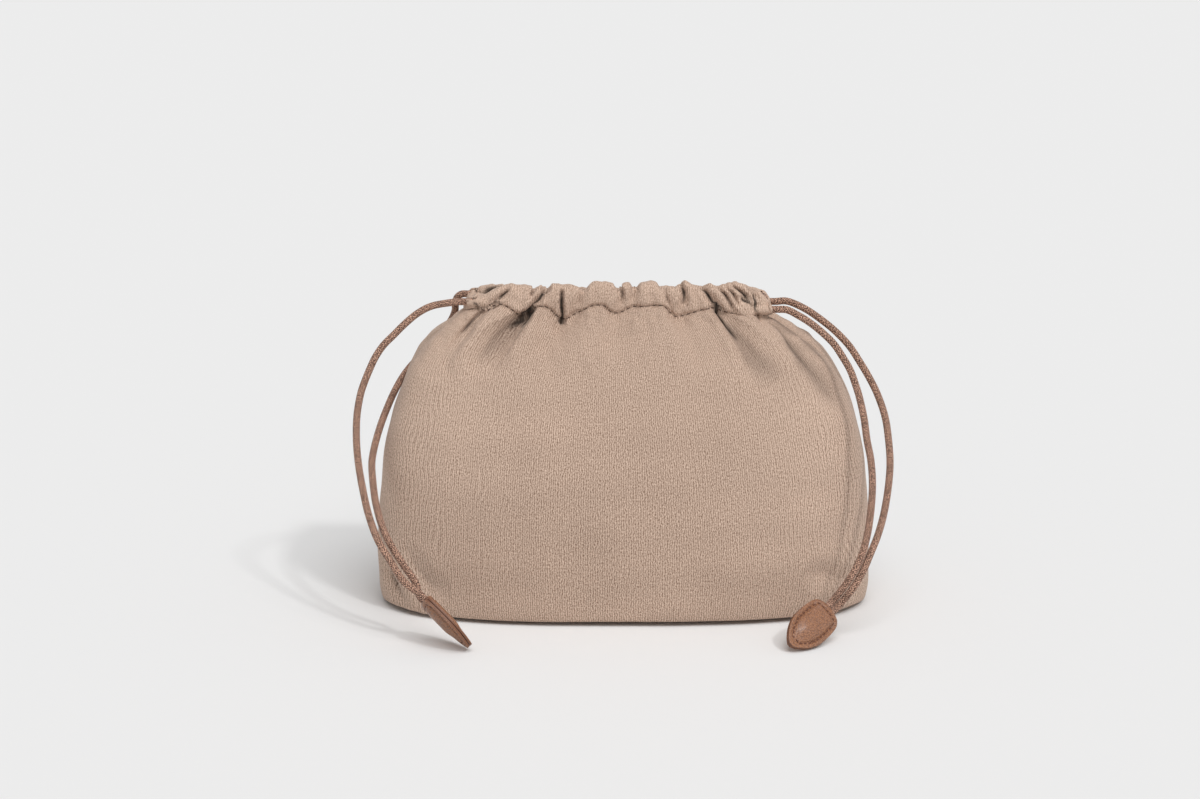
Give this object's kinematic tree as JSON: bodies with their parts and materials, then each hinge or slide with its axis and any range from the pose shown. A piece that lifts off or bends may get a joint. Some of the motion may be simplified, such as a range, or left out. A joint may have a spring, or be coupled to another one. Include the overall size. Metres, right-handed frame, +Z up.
{
  "type": "drawstring pouch",
  "caption": "Soft twill drawstring pouch with a gathered casing at the mouth, a boxed base, double drawcords and leather cord tabs.",
  "frame": {"origin": "middle of the bag's base, on the surface that it stands on", "axes": "+X along the bag's length to the right seen from the front, +Y from front to back, +Z up"},
  "size_m": [0.2953, 0.1608, 0.1842],
  "materials": {
    "twill": "taupe cotton and polyester twill, soft and matte",
    "lining": "plain woven polyester lining, slight sheen",
    "board": "fibre base board",
    "cord": "round braided polyester cord, pinkish brown",
    "leather": "tan pebbled leather with a soft shine"
  },
  "bodies": {
    "pouch": {"front_panel": "twill", "back_panel": "twill", "base_panel": "twill", "left_casing_end": "twill", "right_casing_end": "twill", "front_lining": "lining", "back_lining": "lining", "base_lining": "lining", "base_board": "board", "left_cord_turn": "cord", "right_cord_turn": "cord"},
    "front_rim": {"front_casing": "twill", "left_cord_front_run": "cord", "right_cord_front_run": "cord"},
    "back_rim": {"back_casing": "twill", "left_cord_back_run": "cord", "right_cord_back_run": "cord"},
    "left_drawcord": {"left_cord_outer": "cord", "left_cord_inner": "cord"},
    "left_tab": {"left_tab_front_leaf": "leather", "left_tab_back_leaf": "leather", "left_tab_cord_ends": "cord"},
    "right_drawcord": {"right_cord_outer": "cord", "right_cord_inner": "cord"},
    "right_tab": {"right_tab_front_leaf": "leather", "right_tab_back_leaf": "leather", "right_tab_cord_ends": "cord"}
  },
  "joints": [
    {"name": "mouth_front_open", "type": "hinge", "parent": "pouch", "child": "front_rim", "pos_m": [0, -0.031, 0.1455], "axis": [1, 0, 0], "range_deg": [0, 30]},
    {"name": "mouth_back_open", "type": "hinge", "parent": "pouch", "child": "back_rim", "pos_m": [0, 0.031, 0.1455], "axis": [-1, 0, 0], "range_deg": [0, 30]},
    {"name": "left_drawcord_pull", "type": "slide", "parent": "pouch", "child": "left_drawcord", "axis": [-1, 0, 0], "range_m": [0, 0.02]},
    {"name": "right_drawcord_pull", "type": "slide", "parent": "pouch", "child": "right_drawcord", "axis": [1, 0, 0], "range_m": [0, 0.02]},
    {"name": "left_tab_swing", "type": "hinge", "parent": "left_drawcord", "child": "left_tab", "pos_m": [-0.1078, -0.084, 0.0244], "axis": [-0.3154, -0.9324, 0.1766], "range_deg": [0, 40]},
    {"name": "right_tab_swing", "type": "hinge", "parent": "right_drawcord", "child": "right_tab", "pos_m": [0.1085, -0.074, 0.0154], "axis": [-0.6257, 0.2413, 0.7418], "range_deg": [0, 40]}
  ],
  "couplings": [
    {"joint": "mouth_back_open", "follows": "mouth_front_open", "ratio": 1}
  ]
}
